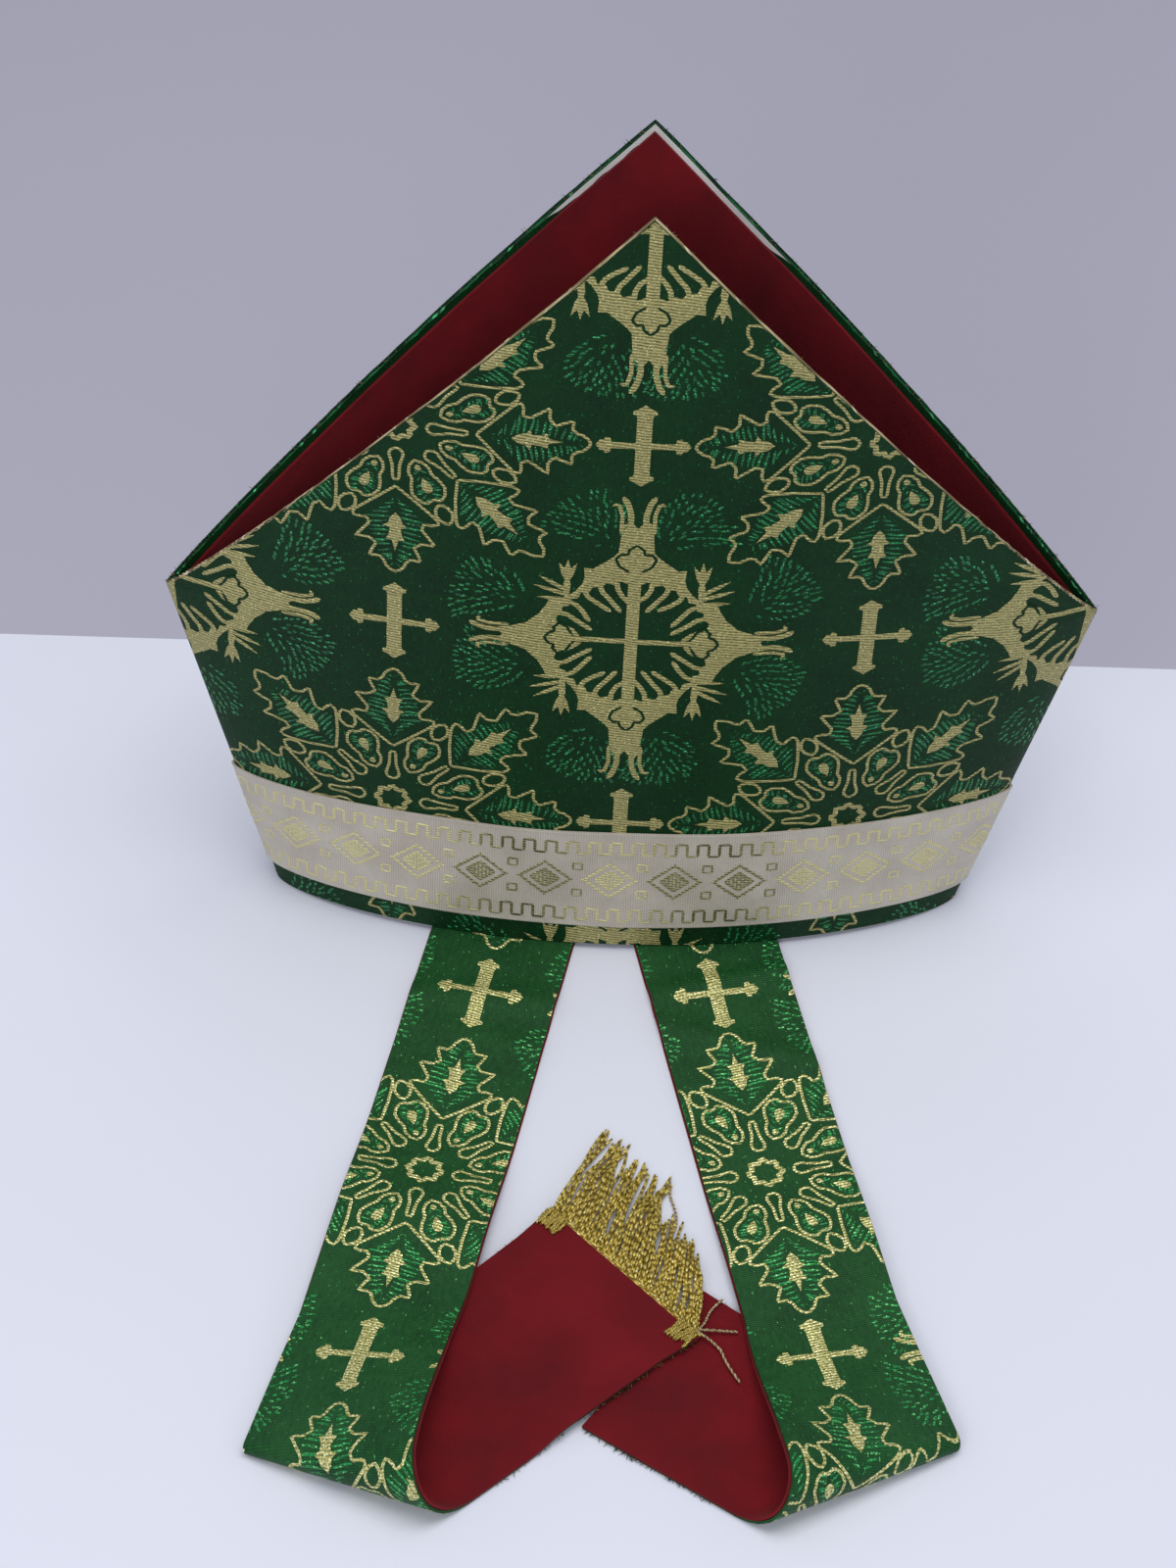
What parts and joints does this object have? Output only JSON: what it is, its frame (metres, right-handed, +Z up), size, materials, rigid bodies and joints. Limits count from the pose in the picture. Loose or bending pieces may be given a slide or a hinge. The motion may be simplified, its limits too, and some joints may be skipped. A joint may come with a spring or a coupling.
{
  "type": "bishop mitre",
  "caption": "Bishop's mitre of two stiff peaked brocade panels with a ribbon band round the base and two fringed lappets folded on the surface.",
  "frame": {"origin": "middle of the far panel's bottom hem edge, on the surface that the mitre stands on", "axes": "+Z up, -Y towards the panel that the lappets hang from, +X to that panel's right as seen from the front of it"},
  "size_m": [0.34, 0.3379, 0.343],
  "materials": {
    "brocade": "dark green satin brocade woven with gold and bright green lurex figures",
    "lining": "plain matt crimson lining cloth",
    "galloon": "cream ribbon with a raised gold diamond pattern",
    "bullion": "twisted metallic gold fringe"
  },
  "bodies": {
    "root": {"panel_near": "brocade", "panel_far": "brocade", "lining_near": "lining", "lining_far": "lining", "galloon_near": "galloon", "galloon_far": "galloon", "lappet_left": "brocade", "lappet_right": "brocade", "lappet_lining_left": "lining", "lappet_lining_right": "lining", "fringe_left": "bullion", "fringe_right": "bullion"}
  },
  "joints": []
}
